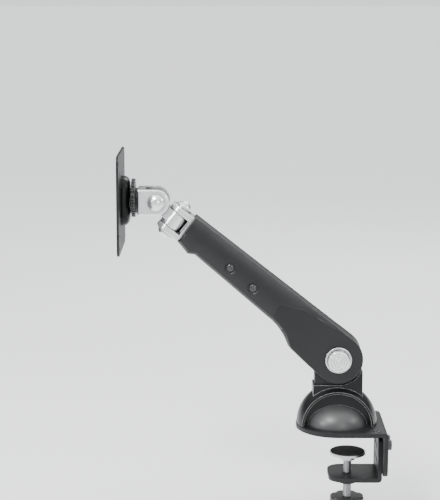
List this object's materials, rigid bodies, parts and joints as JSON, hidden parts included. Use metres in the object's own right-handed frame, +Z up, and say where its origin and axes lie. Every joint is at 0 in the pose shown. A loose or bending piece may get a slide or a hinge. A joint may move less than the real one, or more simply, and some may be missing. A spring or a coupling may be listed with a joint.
{
  "type": "monitor arm",
  "caption": "Desk-clamped monitor arm with a turning base, a gas spring lift arm, a swivel and tilt head and a square monitor plate.",
  "frame": {"origin": "on the turret's vertical axis, at the desk's top surface, under the desk pad", "axes": "+Z up; +X off the desk, towards the clamp's leg; the arm reaches towards -X; +Y completes the frame"},
  "size_m": [0.3305, 0.118, 0.4436],
  "materials": {
    "black_steel": "satin",
    "black_cast": "satin",
    "black_plastic": "satin",
    "dome_plastic": "semi-gloss",
    "silver_cast": "satin",
    "silver_cap": "satin",
    "steel": "machined",
    "black_screw": "oxide",
    "rubber": "matte",
    "bronze": "machined",
    "nylon": "matte"
  },
  "bodies": {
    "base": {"clamp_bracket": "black_steel", "corner_screws": "black_screw", "desk_pad": "rubber", "jaw_bracket": "black_steel", "jaw_screws": "black_screw", "base_dome": "dome_plastic", "swivel_post": "steel", "thrust_washer": "nylon", "friction_washer": "nylon", "disc_spring": "steel", "swivel_nut": "steel"},
    "clamp_foot": {"pressure_plate": "steel", "pressure_pad": "rubber"},
    "clamp_spindle": {"clamp_screw": "steel", "clamp_knob": "black_plastic"},
    "turret": {"turret_housing": "black_cast", "yoke": "black_steel", "yoke_screws": "black_screw", "lift_bushings": "bronze", "anchor_pin": "steel"},
    "arm": {"arm_beam": "black_steel", "arm_cover_near": "black_plastic", "arm_cover_far": "black_plastic", "arm_underside": "black_plastic", "cover_screws": "black_screw", "lift_shaft": "steel", "shaft_nuts": "steel", "hub_cap_near": "silver_cap", "hub_cap_far": "silver_cap", "spring_cylinder": "black_steel", "spring_gland": "nylon", "cylinder_pin": "steel", "arm_clevis": "silver_cast", "clevis_bolts": "steel", "swivel_rivet": "silver_cast"},
    "rod": {"spring_rod": "steel", "rod_eye": "steel"},
    "link": {"link_block": "silver_cast", "swivel_washers": "nylon", "tilt_washers": "nylon"},
    "tilt_head": {"tilt_clevis": "silver_cast", "tilt_pin": "silver_cap", "pivot_collar": "black_plastic", "index_plate": "black_plastic", "rotation_stud": "steel", "stud_washers": "nylon", "stud_nut": "steel"},
    "monitor_plate": {"hub_cover": "black_cast", "vesa_plate": "black_steel", "plate_screws": "black_screw"}
  },
  "joints": [
    {"name": "base_swivel", "type": "hinge", "parent": "base", "child": "turret", "pos_m": [0, 0, 0], "axis": [0, 0, 1], "range_deg": [-180, 180]},
    {"name": "lift", "type": "hinge", "parent": "turret", "child": "arm", "pos_m": [0, 0, 0.089], "axis": [0, 1, 0], "range_deg": [-38, 37]},
    {"name": "spring_stroke", "type": "slide", "parent": "arm", "child": "rod", "axis": [0.696, 0, -0.718], "range_m": [-0.0095, 0.0095]},
    {"name": "head_swivel", "type": "hinge", "parent": "arm", "child": "link", "pos_m": [-0.1975, 0, 0.25765], "axis": [0.6184, 0, 0.7859], "range_deg": [-75, 75]},
    {"name": "head_tilt", "type": "hinge", "parent": "link", "child": "tilt_head", "pos_m": [-0.219, 0, 0.2806], "axis": [0, 1, 0], "range_deg": [-50, 70]},
    {"name": "screen_turn", "type": "hinge", "parent": "tilt_head", "child": "monitor_plate", "pos_m": [-0.25, 0, 0.2806], "axis": [1, 0, 0], "range_deg": [-90, 90]},
    {"name": "clamp_travel", "type": "slide", "parent": "base", "child": "clamp_foot", "axis": [0, 0, 1], "range_m": [-0.014, 0.014]},
    {"name": "clamp_spin", "type": "hinge", "parent": "clamp_foot", "child": "clamp_spindle", "pos_m": [0.014, 0, -0.06], "axis": [0, 0, 1], "range_deg": [-3361, 3361]}
  ],
  "couplings": [
    {"joint": "spring_stroke", "follows": "lift", "m_per_rad": 0.013469},
    {"joint": "clamp_spin", "follows": "clamp_travel", "rad_per_m": 4188.8}
  ]
}
